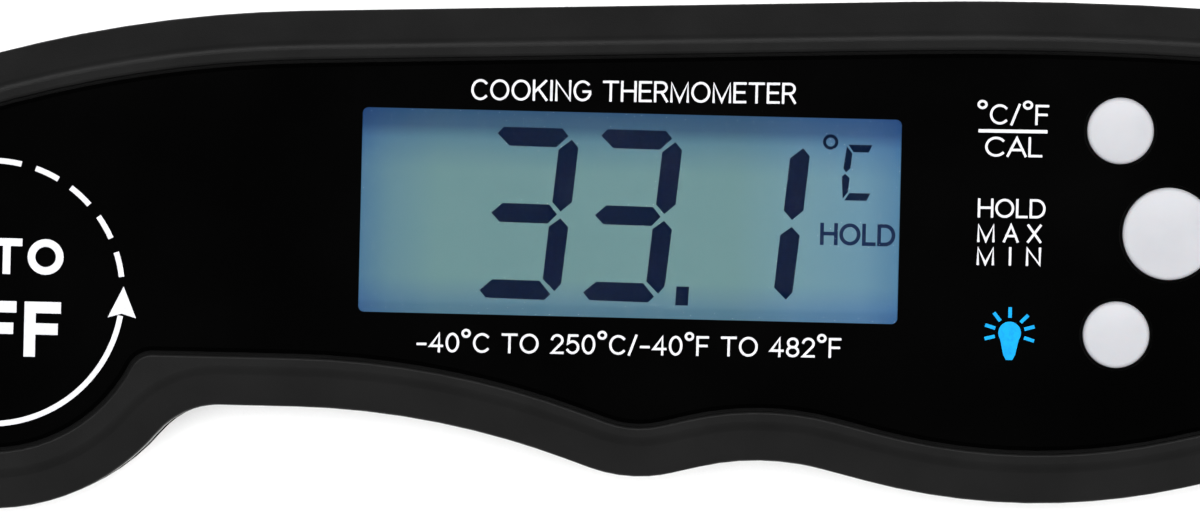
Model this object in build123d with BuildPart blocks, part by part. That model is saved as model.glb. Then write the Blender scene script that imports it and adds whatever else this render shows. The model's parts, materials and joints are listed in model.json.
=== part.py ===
from build123d import *

import os
from math import atan, degrees, sqrt

os.makedirs("parts", exist_ok=True)

# A folding-probe meat thermometer. Millimetres. The origin lies on the probe's pivot axis in
# the plane of the flat back. +X runs along the body away from the pivot, +Y to the side of the
# body's straight back edge, and +Z out of the display. The probe is modelled swung open.

# Driving dimensions of the body
BODY_HEIGHT = 20.0  # flat back to rim
PARTING_Z = 8.0  # where the two housings meet
SLOT_LOW_Z = 5.0  # the probe's slot, open along the grip side
SLOT_HIGH_Z = 11.0
BEVEL_Z = 17.3  # where the upright side ends and the bevel up to the rim begins
BEVEL_WIDTH = 2.95
BEVEL_FILLET = 0.4
BACK_LEAN = 1.8  # how far the rear wall leans in between the slot and the back
HEAD_RADIUS = 18.55  # round end about the pivot
SHOULDER_RADIUS = 33.8  # big arc from the head into the back edge
SHOULDER_AT = -51.4  # direction of its centre, degrees
BACK_RISE = 15.8  # slope of the back edge where the shoulder ends, degrees
NECK_Y = -9.2  # the finger rest beside the head
NECK_FILLET = 7.0
RIM_WIDTH = 4.25  # silhouette to panel recess
HEAD_RECESS_RADIUS = 13.6  # the recess is round about the pivot
RIM_FILLET = 1.2
BACK_FILLET = 1.8
SEAM_CHAMFER = 0.25  # on both housings' outer edges where they meet

# The rest of the outline: corner X, corner Y and the radius that rounds it, from the neck round
# the two finger bulges, the tail and the back edge to the shoulder.
CORNERS = [
    (37.98, NECK_Y, 72.0),
    (55.0, -15.02, 12.5),
    (66.2, -12.23, 22.0),
    (88.7, -17.66, 58.0),
    (144.5, -4.28, 12.5),
    (144.5, 16.14, 12.5),
    (117.0, 26.15, 70.0),
    (91.5, 27.26, 320.0),
    (13.2, 24.25, 110.0),
]

# Walls, cavities and seats
WALL = 4.6  # silhouette to cavity
FLOOR_Z = 1.6
CEILING_Z = 12.0  # top of the thin wall above the slot
DECK_LOW_Z = 16.8
DECK_TOP_Z = 18.0
ADHESIVE = 0.2
PANEL_THICK = 1.2
PANEL_GAP = 0.3
PANEL_CHAMFER = 0.35
PANEL_END_X = 122.0
PANEL_END_RADIUS = 40.0
BAY_START_X = 11.0  # the lower bay lies between the hub and the tail
BAY_END_X = 126.5
BAY_EDGE_Y = 0.5
HUB_KEEPOUT = 16.9
PIVOT_PAD = 8.0
SLOT_EDGE_Y = -1.9
SLOT_HEAD_Y = 8.1
SLOT_END_X = 131.5
HANG_HOLE = (134.0, 7.5)
HANG_HOLE_RADIUS = 3.75
HANG_RIM_FILLET = 0.6
RECESS_EDGE_FILLET = 0.25
RECESS_CORNERS = (2.0, 14.0, 3.0)  # at the neck, at the shoulder and at the tail
SEAL_DEPTH = 0.5  # of the groove for the housing seal, in each housing
SEAL_OFFSETS = (0.7, 1.5)  # the seal's inner and outer edge, out from the bay

# Display
LCD_CENTRE = (54.49, 7.83)
WINDOW = (46.0, 17.38)
WINDOW_CORNER = 0.5
WINDOW_GAP = 0.05
CELL = (50.0, 21.0)
DECK_WINDOW = (50.4, 21.4)
ADHESIVE_WINDOW = (47.0, 18.4)
CELL_Z = 15.8
CELL_THICK = 2.0
FRAME = (53.0, 24.0)
FRAME_TOP_Z = 16.6
FRAME_FIT = 0.2  # what the frame's pockets are larger by than what they hold
GUIDE = (46.0, 17.2)
GUIDE_THICK = 2.2
ZEBRA = (46.0, 1.6)
BACKLIGHT_Y = LCD_CENTRE[1] - 0.83
ZEBRA_Y = LCD_CENTRE[1] + 9.47

# Buttons: name, X, Y, radius
BUTTONS = [
    ("unit_button", 96.24, 16.07, 2.85),
    ("hold_button", 100.57, 7.36, 3.955),
    ("light_button", 96.27, -1.36, 2.85),
]
BUTTON_GAP = 0.3
BUTTON_EDGE_Z = 19.85
BUTTON_DOME = 0.4
FLANGE = 0.9
FLANGE_Z = 15.9
FLANGE_THICK = 0.6
STEM_Z = 15.4
STEM_RADIUS = 1.0
BUTTON_FILLET = 0.4
KEYPAD_THICK = 0.6
KEYPAD = (19.0, 27.0)
KEYPAD_CENTRE = (99.5, 7.0)

# Electronics
BOARD_Z = 12.3
BOARD_TOP_Z = 13.3
BOARD = (83.0, 23.0)
BOARD_CENTRE = (67.5, 7.3)
BOARD_SCREWS = [(84.6, 17.2), (106.0, 13.5), (106.4, 2.4)]
BOARD_POST_RADIUS = 1.6
BOARD_PILOT_RADIUS = 0.6
BOARD_PILOT_DEPTH = 3.0
BOARD_SCREW_HEAD = (1.5, 1.0)  # radius and height
CELL_CENTRE = (93.0, 9.5)  # coin cell, 20 mm across and 3.2 mm thick
COIN_RADIUS = 10.0
COIN_Z = 2.4
COIN_THICK = 3.2
COIN_STEP = 0.3  # the negative face stands this much above the can
COIN_TOP_Z = COIN_Z + COIN_THICK
COVER_RADIUS = 11.6
COVER_FIT = 0.05
COVER_Z = (0.3, 2.2)
COVER_SEAT_Z = 2.3
COVER_SLOT = (16.0, 2.0)
COVER_SLOT_DEPTH = 0.9
COVER_GROOVE = (0.75, 1.85)  # low and high Z of the groove for the cover's seal
COVER_SEAL_Z = sum(COVER_GROOVE) / 2
CONTACT_THICK = 0.3
HOLDER_THICK = 1.5
HOLDER_RADII = (8.0, 9.8)
MAGNETS = [(35.0, 8.0), (119.5, 10.0)]
MAGNET_RADIUS = 5.0
MAGNET_SEAT_DEPTH = 0.8
MAGNET_THICK = 2.0

# Housing screws, driven from the back
SCREWS = [(4.5, 16.6), (22.5, 2.2), (22.0, 17.5), (83.5, 21.5), (112.5, 17.5), (113.5, 3.0)]
SCREW_HEAD_Z = (0.9, 2.5)
SCREW_HEAD_RADIUS = 1.9
SCREW_RADIUS = 0.88
SCREW_LENGTH = 12.0
SCREW_DRIVE = (2.2, 0.5)
SCREW_DRIVE_DEPTH = 0.7
BOSS_RADII = (2.4, 3.0)  # front and rear
PILOT_RADIUS = 0.9
PILOT_DEPTH = 7.0
CLEARANCE_RADIUS = 1.15
COUNTERBORE_RADIUS = 2.1

# Hub and probe
HUB_RADIUS = 14.0
HUB_CLEAR = 14.3
HUB_Z = (5.6, 10.6)
HUB_CAVITY_Z = (6.8, 9.4)
HUB_CAVITY_RADIUS = 12.6
AXLE_RADIUS = 5.0
AXLE_FIT = 0.05
AXLE_Z = (2.3, 14.3)
HUB_SCREW_RING = 10.5
HUB_SCREW_ANGLES = (0, 120, 240)
HUB_MAGNET_ANGLE = 197
HUB_FILLET = 0.6
AXLE_CHAMFER = 0.4
AXLE_END_GAP = 0.3
HUB_SEALS = {"hub_seal_front": 12.6, "hub_seal_rear": 3.7}
HUB_SEAL_GROOVE = 1.2
HUB_SEAL_RADIUS = 0.5
HUB_MAGNET = (1.45, 2.0)  # radius and height
WASHER_RADIUS = 9.0
WASHER_THICK = 0.3
TUBE_Y = 5.0
TUBE_RADIUS = 1.9
TUBE_BORE = 1.5
TUBE_START_X = -9.0
TUBE_END_X = -118.0
TIP_X = -130.0
LEAD_RADIUS = 0.6
LEAD_Z = AXLE_Z[1] + 1.0
COLLAR_START_X = -14.2
COLLAR_RADIUS = 2.5
COLLAR_LENGTH = 4.8
TIP_RADIUS = 1.05
TIP_WALL_RADIUS = 0.75
TIP_POINT_RADIUS = 0.12
BEAD_RADIUS = 0.65
BEAD_LENGTH = 3.0
CLAMP = (5.0, 7.0)  # the block inside the hub that grips the tube
CLAMP_CENTRE = (TUBE_START_X - CLAMP[0] / 2, TUBE_Y)

FRONT_TAPER = degrees(atan(BEVEL_WIDTH / (BODY_HEIGHT - BEVEL_Z)))
REAR_TAPER = degrees(atan(BACK_LEAN / SLOT_LOW_Z))
PANEL_Z = DECK_TOP_Z + ADHESIVE


def save(piece, name):
    """Label a finished piece and write its STEP file."""
    piece.label = name
    export_step(piece, f"parts/{name}.step")


# Plan outlines shared by several pieces

shoulder_centre = Vector(SHOULDER_RADIUS - HEAD_RADIUS, 0).rotate(Axis.Z, SHOULDER_AT)
shoulder_start = shoulder_centre.normalized() * -HEAD_RADIUS
shoulder_end = shoulder_centre + Vector(0, SHOULDER_RADIUS).rotate(Axis.Z, BACK_RISE)
neck_reach = HEAD_RADIUS + NECK_FILLET
neck_centre = Vector(sqrt(neck_reach**2 - (NECK_FILLET - NECK_Y) ** 2), NECK_Y - NECK_FILLET)
neck_start = neck_centre * (HEAD_RADIUS / neck_reach)
neck_end = Vector(neck_centre.X, NECK_Y)

with BuildSketch() as outline:
    with BuildLine():
        ThreePointArc(shoulder_start, (-HEAD_RADIUS, 0), neck_start)
        RadiusArc(neck_start, neck_end, NECK_FILLET)
        FilletPolyline(
            neck_end,
            *[corner[:2] for corner in CORNERS],
            shoulder_end,
            radius=[corner[2] for corner in CORNERS],
        )
        RadiusArc(shoulder_end, shoulder_start, -SHOULDER_RADIUS)
    make_face()

# The panel's recess is round about the pivot, follows the silhouette along the body and stops
# at a rounded end short of the hanging hole.
recess_neck = Vector(sqrt(HEAD_RECESS_RADIUS**2 - (NECK_Y + RIM_WIDTH) ** 2), NECK_Y + RIM_WIDTH)
recess_touch = Vector(HEAD_RECESS_RADIUS, 0).rotate(Axis.Z, 130)
recess_leave = recess_touch + Vector(10, 0).rotate(Axis.Z, 40)

with BuildSketch() as recess_tail:
    with Locations((PANEL_END_X + 10, LCD_CENTRE[1])):
        Rectangle(60, 80)
    with Locations((PANEL_END_X - PANEL_END_RADIUS, LCD_CENTRE[1])):
        Circle(PANEL_END_RADIUS, mode=Mode.SUBTRACT)

with BuildSketch() as recess_head:
    with BuildLine():
        Polyline(
            recess_leave,
            (-30, 30),
            (-30, -30),
            (neck_end.X, -30),
            (neck_end.X, recess_neck.Y),
            recess_neck,
            (0, 0),
            recess_touch,
            close=True,
        )
    make_face()

with BuildSketch() as recess:
    add(outline.sketch)
    offset(amount=-RIM_WIDTH)
    add(recess_head.sketch, mode=Mode.SUBTRACT)
    add(recess_tail.sketch, mode=Mode.SUBTRACT)
    Circle(HEAD_RECESS_RADIUS)
    fillet(recess.vertices().sort_by_distance((recess_neck.X, recess_neck.Y, 0))[0], RECESS_CORNERS[0])
    fillet(recess.vertices().sort_by_distance((-4.0, 14.4, 0))[0], RECESS_CORNERS[1])
    fillet(recess.vertices().sort_by(Axis.X)[-2:], RECESS_CORNERS[2])

with BuildSketch() as panel_outline:
    add(recess.sketch)
    offset(amount=-PANEL_GAP)

with BuildSketch() as cavity:
    add(outline.sketch)
    offset(amount=-WALL)
    with Locations((BAY_END_X + 20, 0)):
        Rectangle(40, 80, mode=Mode.SUBTRACT)

with BuildSketch() as bay:
    add(cavity.sketch)
    with Locations((BAY_START_X - 20, 0)):
        Rectangle(40, 80, mode=Mode.SUBTRACT)
    with Locations((60, BAY_EDGE_Y - 20)):
        Rectangle(160, 40, mode=Mode.SUBTRACT)
    Circle(HUB_KEEPOUT, mode=Mode.SUBTRACT)

with BuildSketch() as seal_ring:
    add(bay.sketch)
    offset(amount=SEAL_OFFSETS[1])
with BuildSketch() as seal_hole:
    add(bay.sketch)
    offset(amount=SEAL_OFFSETS[0])

with BuildSketch() as slot:
    with Locations(((SLOT_END_X - 30) / 2, SLOT_EDGE_Y - 15)):
        Rectangle(SLOT_END_X + 30, 30)
    with Locations((-15, SLOT_HEAD_Y - 20)):
        Rectangle(30, 40)
    Circle(HUB_CLEAR)

with BuildSketch() as button_holes:
    for _, button_x, button_y, button_radius in BUTTONS:
        with Locations((button_x, button_y)):
            Circle(button_radius + BUTTON_GAP)


# Front housing: rim, deck under the panel, upper half of the slot, pivot socket and bosses

with BuildPart() as front_housing:
    with BuildSketch(Plane.XY.offset(PARTING_Z)):
        add(outline.sketch)
    extrude(amount=BEVEL_Z - PARTING_Z)
    with BuildSketch(Plane.XY.offset(BEVEL_Z)):
        add(outline.sketch)
    extrude(amount=BODY_HEIGHT - BEVEL_Z, taper=FRONT_TAPER)
    fillet(front_housing.faces().sort_by(Axis.Z)[-1].edges(), RIM_FILLET)
    fillet(front_housing.edges().filter_by_position(Axis.Z, BEVEL_Z, BEVEL_Z), BEVEL_FILLET)
    chamfer(front_housing.edges().filter_by_position(Axis.Z, PARTING_Z, PARTING_Z), SEAM_CHAMFER)
    with BuildSketch(Plane.XY.offset(DECK_TOP_Z)):
        add(recess.sketch)
    extrude(amount=BODY_HEIGHT - DECK_TOP_Z, mode=Mode.SUBTRACT)
    fillet(front_housing.faces().sort_by(Axis.Z)[-1].inner_wires()[0].edges(), RECESS_EDGE_FILLET)
    # the hollow under the deck, with the socket for the axle left solid about the pivot
    with BuildSketch(Plane.XY.offset(CEILING_Z)):
        add(cavity.sketch)
        Circle(PIVOT_PAD, mode=Mode.SUBTRACT)
    extrude(amount=DECK_LOW_Z - CEILING_Z, mode=Mode.SUBTRACT)
    with BuildSketch(Plane.XY.offset(PARTING_Z)):
        add(bay.sketch)
    extrude(amount=CEILING_Z - PARTING_Z, mode=Mode.SUBTRACT)
    with BuildSketch(Plane.XY.offset(PARTING_Z)):
        add(slot.sketch)
    extrude(amount=SLOT_HIGH_Z - PARTING_Z, mode=Mode.SUBTRACT)
    # screw bosses and board posts
    with BuildSketch(Plane.XY.offset(PARTING_Z)):
        with Locations(*SCREWS):
            Circle(BOSS_RADII[0])
    extrude(amount=DECK_LOW_Z - PARTING_Z)
    with BuildSketch(Plane.XY.offset(BOARD_TOP_Z)):
        with Locations(*BOARD_SCREWS):
            Circle(BOARD_POST_RADIUS)
    extrude(amount=DECK_LOW_Z - BOARD_TOP_Z)
    with BuildSketch(Plane.XY.offset(PARTING_Z)):
        with Locations(*SCREWS):
            Circle(PILOT_RADIUS)
    extrude(amount=PILOT_DEPTH, mode=Mode.SUBTRACT)
    with BuildSketch(Plane.XY.offset(BOARD_TOP_Z)):
        with Locations(*BOARD_SCREWS):
            Circle(BOARD_PILOT_RADIUS)
    extrude(amount=BOARD_PILOT_DEPTH, mode=Mode.SUBTRACT)
    with BuildSketch(Plane.XY.offset(PARTING_Z)):
        add(seal_ring.sketch)
        add(seal_hole.sketch, mode=Mode.SUBTRACT)
    extrude(amount=SEAL_DEPTH, mode=Mode.SUBTRACT)
    # openings in the deck
    with BuildSketch(Plane.XY.offset(DECK_LOW_Z)):
        with Locations(LCD_CENTRE):
            Rectangle(*DECK_WINDOW)
        add(button_holes.sketch)
    extrude(amount=DECK_TOP_Z - DECK_LOW_Z, mode=Mode.SUBTRACT)
    # axle socket, and the channel that takes the lead from it
    with BuildSketch(Plane.XY.offset(SLOT_HIGH_Z)):
        Circle(AXLE_RADIUS + AXLE_FIT)
    extrude(amount=AXLE_Z[1] + AXLE_END_GAP - SLOT_HIGH_Z, mode=Mode.SUBTRACT)
    with BuildSketch(Plane.XY.offset(AXLE_Z[1] + AXLE_END_GAP)):
        with Locations((4.0, 0)):
            Rectangle(11.0, 3.0)
    extrude(amount=1.4, mode=Mode.SUBTRACT)
    with BuildSketch(Plane.XY.offset(PARTING_Z)):
        with Locations(HANG_HOLE):
            Circle(HANG_HOLE_RADIUS)
    extrude(amount=BODY_HEIGHT - PARTING_Z, mode=Mode.SUBTRACT)
    hang_rim = front_housing.edges().filter_by(GeomType.CIRCLE).filter_by(
        lambda edge: abs(edge.radius - HANG_HOLE_RADIUS) < 0.01 and edge.center().Z > 19
    )
    fillet(hang_rim, HANG_RIM_FILLET)
save(front_housing.part, "front_housing")


# Rear housing: flat back, lower half of the slot, battery bay and screw bosses

with BuildPart() as rear_housing:
    with BuildSketch(Plane.XY.offset(SLOT_LOW_Z)):
        add(outline.sketch)
    extrude(amount=PARTING_Z - SLOT_LOW_Z)
    with BuildSketch(Plane.XY.offset(SLOT_LOW_Z)):
        add(outline.sketch)
    extrude(amount=-SLOT_LOW_Z, taper=REAR_TAPER)
    fillet(rear_housing.faces().sort_by(Axis.Z)[0].edges(), BACK_FILLET)
    chamfer(rear_housing.edges().filter_by_position(Axis.Z, PARTING_Z, PARTING_Z), SEAM_CHAMFER)
    with BuildSketch(Plane.XY.offset(FLOOR_Z)):
        add(bay.sketch)
    extrude(amount=PARTING_Z - FLOOR_Z, mode=Mode.SUBTRACT)
    with BuildSketch(Plane.XY.offset(FLOOR_Z)):
        with Locations(*SCREWS):
            Circle(BOSS_RADII[1])
    extrude(amount=PARTING_Z - FLOOR_Z)
    with BuildSketch(Plane.XY.offset(FLOOR_Z)):
        with Locations(CELL_CENTRE):
            Circle(COVER_RADIUS + 1.4)
    extrude(amount=COVER_SEAT_Z + 1.7 - FLOOR_Z)
    with BuildSketch(Plane.XY.offset(FLOOR_Z)):
        with Locations(CELL_CENTRE):
            Circle(COVER_RADIUS)
    extrude(amount=COIN_Z + COIN_THICK + 0.2 - FLOOR_Z)
    with BuildSketch(Plane.XY.offset(SLOT_LOW_Z)):
        add(slot.sketch)
    extrude(amount=PARTING_Z - SLOT_LOW_Z, mode=Mode.SUBTRACT)
    with BuildSketch(Plane.XY.offset(PARTING_Z)):
        add(seal_ring.sketch)
        add(seal_hole.sketch, mode=Mode.SUBTRACT)
    extrude(amount=-SEAL_DEPTH, mode=Mode.SUBTRACT)
    # battery opening: the cover's seat, then the well for the cell
    with BuildSketch(Plane.XY):
        with Locations(CELL_CENTRE):
            Circle(COVER_RADIUS + COVER_FIT)
    extrude(amount=COVER_SEAT_Z, mode=Mode.SUBTRACT)
    with BuildSketch(Plane.XY):
        with Locations(CELL_CENTRE):
            Circle(COIN_RADIUS + 0.4)
    extrude(amount=PARTING_Z, mode=Mode.SUBTRACT)
    # screw holes with their counterbores, magnet seats, axle socket and hanging hole
    with BuildSketch(Plane.XY):
        with Locations(*SCREWS):
            Circle(CLEARANCE_RADIUS)
    extrude(amount=PARTING_Z, mode=Mode.SUBTRACT)
    with BuildSketch(Plane.XY):
        with Locations(*SCREWS):
            Circle(COUNTERBORE_RADIUS)
    extrude(amount=SCREW_HEAD_Z[1], mode=Mode.SUBTRACT)
    with BuildSketch(Plane.XY.offset(FLOOR_Z)):
        with Locations(*MAGNETS):
            Circle(MAGNET_RADIUS + 0.1)
    extrude(amount=-MAGNET_SEAT_DEPTH, mode=Mode.SUBTRACT)
    with BuildSketch(Plane.XY.offset(SLOT_LOW_Z)):
        Circle(AXLE_RADIUS + AXLE_FIT)
    extrude(amount=AXLE_Z[0] - AXLE_END_GAP - SLOT_LOW_Z, mode=Mode.SUBTRACT)
    with BuildSketch(Plane.XY):
        with Locations(HANG_HOLE):
            Circle(HANG_HOLE_RADIUS)
    extrude(amount=PARTING_Z, mode=Mode.SUBTRACT)
    hang_rim = rear_housing.edges().filter_by(GeomType.CIRCLE).filter_by(
        lambda edge: abs(edge.radius - HANG_HOLE_RADIUS) < 0.01 and edge.center().Z < 1
    )
    fillet(hang_rim, HANG_RIM_FILLET)
save(rear_housing.part, "rear_housing")


with BuildPart() as housing_seal:
    with BuildSketch(Plane.XY.offset(PARTING_Z - SEAL_DEPTH)):
        add(seal_ring.sketch)
        add(seal_hole.sketch, mode=Mode.SUBTRACT)
    extrude(amount=2 * SEAL_DEPTH)
save(housing_seal.part, "housing_seal")


with BuildPart() as housing_screws:
    with BuildSketch(Plane.XY.offset(SCREW_HEAD_Z[0])):
        with Locations(*SCREWS):
            Circle(SCREW_HEAD_RADIUS)
    extrude(amount=SCREW_HEAD_Z[1] - SCREW_HEAD_Z[0])
    with BuildSketch(Plane.XY.offset(SCREW_HEAD_Z[0])):
        with Locations(*SCREWS):
            Rectangle(*SCREW_DRIVE)
            Rectangle(*reversed(SCREW_DRIVE))
    extrude(amount=SCREW_DRIVE_DEPTH, mode=Mode.SUBTRACT)
    with BuildSketch(Plane.XY.offset(SCREW_HEAD_Z[1])):
        with Locations(*SCREWS):
            Circle(SCREW_RADIUS)
    extrude(amount=SCREW_LENGTH)
save(housing_screws.part, "housing_screws")


# The glossy front panel, its clear window and the adhesive sheet under it

with BuildPart() as face_panel:
    with BuildSketch(Plane.XY.offset(PANEL_Z)):
        add(panel_outline.sketch)
    extrude(amount=PANEL_THICK)
    chamfer(face_panel.faces().sort_by(Axis.Z)[-1].edges(), PANEL_CHAMFER)
    with BuildSketch(Plane.XY.offset(PANEL_Z)):
        with Locations(LCD_CENTRE):
            RectangleRounded(WINDOW[0] + 2 * WINDOW_GAP, WINDOW[1] + 2 * WINDOW_GAP, WINDOW_CORNER)
        add(button_holes.sketch)
    extrude(amount=PANEL_THICK, mode=Mode.SUBTRACT)
save(face_panel.part, "face_panel")


with BuildPart() as display_window:
    with BuildSketch(Plane.XY.offset(PANEL_Z)):
        with Locations(LCD_CENTRE):
            RectangleRounded(*WINDOW, WINDOW_CORNER)
    extrude(amount=PANEL_THICK)
save(display_window.part, "display_window")


with BuildPart() as panel_adhesive:
    with BuildSketch(Plane.XY.offset(DECK_TOP_Z)):
        add(panel_outline.sketch)
        offset(amount=-0.8)
        with Locations(LCD_CENTRE):
            Rectangle(*ADHESIVE_WINDOW, mode=Mode.SUBTRACT)
        add(button_holes.sketch, mode=Mode.SUBTRACT)
    extrude(amount=ADHESIVE)
save(panel_adhesive.part, "panel_adhesive")


# Display stack on the circuit board

with BuildPart() as lcd_cell:
    with BuildSketch(Plane.XY.offset(CELL_Z)):
        with Locations(LCD_CENTRE):
            Rectangle(*CELL)
    extrude(amount=CELL_THICK)
save(lcd_cell.part, "lcd_cell")


with BuildPart() as lcd_frame:
    with BuildSketch(Plane.XY.offset(BOARD_TOP_Z)):
        with Locations(LCD_CENTRE):
            RectangleRounded(*FRAME, 1.0)
    extrude(amount=FRAME_TOP_Z - BOARD_TOP_Z)
    with BuildSketch(Plane.XY.offset(CELL_Z)):
        with Locations(LCD_CENTRE):
            Rectangle(CELL[0] + FRAME_FIT, CELL[1] + FRAME_FIT)
    extrude(amount=FRAME_TOP_Z - CELL_Z, mode=Mode.SUBTRACT)
    with BuildSketch(Plane.XY.offset(BOARD_TOP_Z)):
        with Locations((LCD_CENTRE[0], BACKLIGHT_Y)):
            Rectangle(GUIDE[0] + 2.0 + FRAME_FIT, GUIDE[1] + FRAME_FIT)
        with Locations((LCD_CENTRE[0], ZEBRA_Y)):
            Rectangle(ZEBRA[0] + FRAME_FIT, ZEBRA[1] + FRAME_FIT)
    extrude(amount=CELL_Z - BOARD_TOP_Z, mode=Mode.SUBTRACT)
save(lcd_frame.part, "lcd_frame")


with BuildPart() as backlight_guide:
    with BuildSketch(Plane.XY.offset(BOARD_TOP_Z + 0.1)):
        with Locations((LCD_CENTRE[0] - 1.0, BACKLIGHT_Y)):
            Rectangle(*GUIDE)
    extrude(amount=GUIDE_THICK)
save(backlight_guide.part, "backlight_guide")


with BuildPart() as backlight_leds:
    with BuildSketch(Plane.XY.offset(BOARD_TOP_Z)):
        with Locations((LCD_CENTRE[0] + 23.0, BACKLIGHT_Y)):
            with GridLocations(0, 8.0, 1, 2):
                Rectangle(1.5, 3.0)
    extrude(amount=1.6)
save(backlight_leds.part, "backlight_leds")


with BuildPart() as zebra_strip:
    with BuildSketch(Plane.XY.offset(BOARD_TOP_Z)):
        with Locations((LCD_CENTRE[0], ZEBRA_Y)):
            Rectangle(*ZEBRA)
    extrude(amount=CELL_Z - BOARD_TOP_Z)
save(zebra_strip.part, "zebra_strip")


with BuildPart() as circuit_board:
    with BuildSketch(Plane.XY.offset(BOARD_Z)):
        with Locations(BOARD_CENTRE):
            RectangleRounded(*BOARD, 1.0)
        with Locations(*BOARD_SCREWS):
            Circle(0.9, mode=Mode.SUBTRACT)
    extrude(amount=BOARD_TOP_Z - BOARD_Z)
save(circuit_board.part, "circuit_board")


with BuildPart() as board_screws:
    with BuildSketch(Plane.XY.offset(BOARD_Z - BOARD_SCREW_HEAD[1])):
        with Locations(*BOARD_SCREWS):
            Circle(BOARD_SCREW_HEAD[0])
    extrude(amount=BOARD_SCREW_HEAD[1])
    with BuildSketch(Plane.XY.offset(BOARD_Z)):
        with Locations(*BOARD_SCREWS):
            Circle(0.58)
    extrude(amount=3.6)
save(board_screws.part, "board_screws")


with BuildPart() as microcontroller:
    with BuildSketch(Plane.XY.offset(BOARD_Z)):
        with Locations((45.0, 9.0)):
            Rectangle(10.0, 10.0)
    extrude(amount=-1.4)
    chamfer(microcontroller.edges().filter_by(Axis.Z), 0.6)
save(microcontroller.part, "microcontroller")


with BuildPart() as board_components:
    with BuildSketch(Plane.XY.offset(BOARD_Z)):
        with Locations((60.0, 8.0)):
            with GridLocations(4.0, 4.0, 3, 3):
                Rectangle(2.0, 1.2)
    extrude(amount=-0.7)
    with BuildSketch(Plane.XY.offset(BOARD_Z)):
        with Locations((72.0, 12.0), (72.0, 6.0)):
            SlotCenterToCenter(4.0, 3.0)
    extrude(amount=-2.6)
save(board_components.part, "board_components")


with BuildPart() as switch_bases:
    with BuildSketch(Plane.XY.offset(BOARD_TOP_Z)):
        with Locations(*[(button_x, button_y) for _, button_x, button_y, _ in BUTTONS]):
            RectangleRounded(6.0, 6.0, 0.5)
    extrude(amount=1.3)
save(switch_bases.part, "switch_bases")


with BuildPart() as keypad_sheet:
    with BuildSketch(Plane.XY.offset(DECK_LOW_Z - KEYPAD_THICK)):
        with Locations(KEYPAD_CENTRE):
            RectangleRounded(*KEYPAD, 2.0)
        for _, button_x, button_y, button_radius in BUTTONS:
            with Locations((button_x, button_y)):
                Circle(button_radius + FLANGE + 0.4, mode=Mode.SUBTRACT)
        with Locations(*BOARD_SCREWS):
            Circle(BOARD_POST_RADIUS + 0.2, mode=Mode.SUBTRACT)
    extrude(amount=KEYPAD_THICK)
save(keypad_sheet.part, "keypad_sheet")


# Buttons: a low dome above the panel, a flange that keeps each in, and a short stem

for button_name, button_x, button_y, button_radius in BUTTONS:
    with BuildPart() as button:
        with BuildSketch(Plane((button_x, button_y, 0), x_dir=(1, 0, 0), z_dir=(0, -1, 0))):
            with BuildLine():
                Polyline(
                    (0, BUTTON_EDGE_Z + BUTTON_DOME),
                    (0, STEM_Z),
                    (STEM_RADIUS, STEM_Z),
                    (STEM_RADIUS, FLANGE_Z),
                    (button_radius + FLANGE, FLANGE_Z),
                    (button_radius + FLANGE, FLANGE_Z + FLANGE_THICK),
                    (button_radius, FLANGE_Z + FLANGE_THICK),
                    (button_radius, BUTTON_EDGE_Z),
                )
                ThreePointArc(
                    (button_radius, BUTTON_EDGE_Z),
                    (button_radius / 2, BUTTON_EDGE_Z + 0.75 * BUTTON_DOME),
                    (0, BUTTON_EDGE_Z + BUTTON_DOME),
                )
            make_face()
        revolve(axis=Axis((button_x, button_y, 0), (0, 0, 1)))
        rims = button.edges().filter_by(GeomType.CIRCLE)
        cap_edge = rims.filter_by(lambda edge: abs(edge.radius - button_radius) < 0.01)
        fillet(cap_edge.sort_by(Axis.Z)[-1], BUTTON_FILLET)
    save(button.part, button_name)


# Battery: coin cell, its holder and contacts, and the sealed coin-slot cover

with BuildPart() as coin_cell:
    with BuildSketch(Plane.XY.offset(COIN_Z)):
        with Locations(CELL_CENTRE):
            Circle(COIN_RADIUS)
    extrude(amount=COIN_THICK - COIN_STEP)
    fillet(coin_cell.edges().sort_by(Axis.Z)[0], 0.4)
    with BuildSketch(Plane.XY.offset(COIN_TOP_Z - COIN_STEP)):
        with Locations(CELL_CENTRE):
            Circle(COIN_RADIUS - 1.1)
    extrude(amount=COIN_STEP)
save(coin_cell.part, "coin_cell")


with BuildPart() as battery_holder:
    with BuildSketch(Plane.XY.offset(COIN_TOP_Z + CONTACT_THICK)):
        with Locations(CELL_CENTRE):
            Circle(HOLDER_RADII[1])
            Circle(HOLDER_RADII[0], mode=Mode.SUBTRACT)
    extrude(amount=HOLDER_THICK)
    with BuildSketch(Plane.XY.offset(COIN_TOP_Z + CONTACT_THICK + HOLDER_THICK)):
        with Locations(CELL_CENTRE):
            with PolarLocations(sum(HOLDER_RADII) / 2, 4, start_angle=45):
                Circle(0.8)
    extrude(amount=BOARD_Z - COIN_TOP_Z - CONTACT_THICK - HOLDER_THICK)
save(battery_holder.part, "battery_holder")


with BuildPart() as battery_contact_negative:
    with BuildSketch(Plane.XY.offset(COIN_TOP_Z)):
        with Locations(CELL_CENTRE):
            RectangleRounded(12.0, 3.0, 0.8)
    extrude(amount=CONTACT_THICK)
    with BuildSketch(Plane.XY.offset(COIN_TOP_Z + CONTACT_THICK)):
        with Locations((CELL_CENTRE[0] + 4.6, CELL_CENTRE[1])):
            Rectangle(CONTACT_THICK, 2.0)
    extrude(amount=BOARD_Z - COIN_TOP_Z - CONTACT_THICK)
save(battery_contact_negative.part, "battery_contact_negative")


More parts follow.
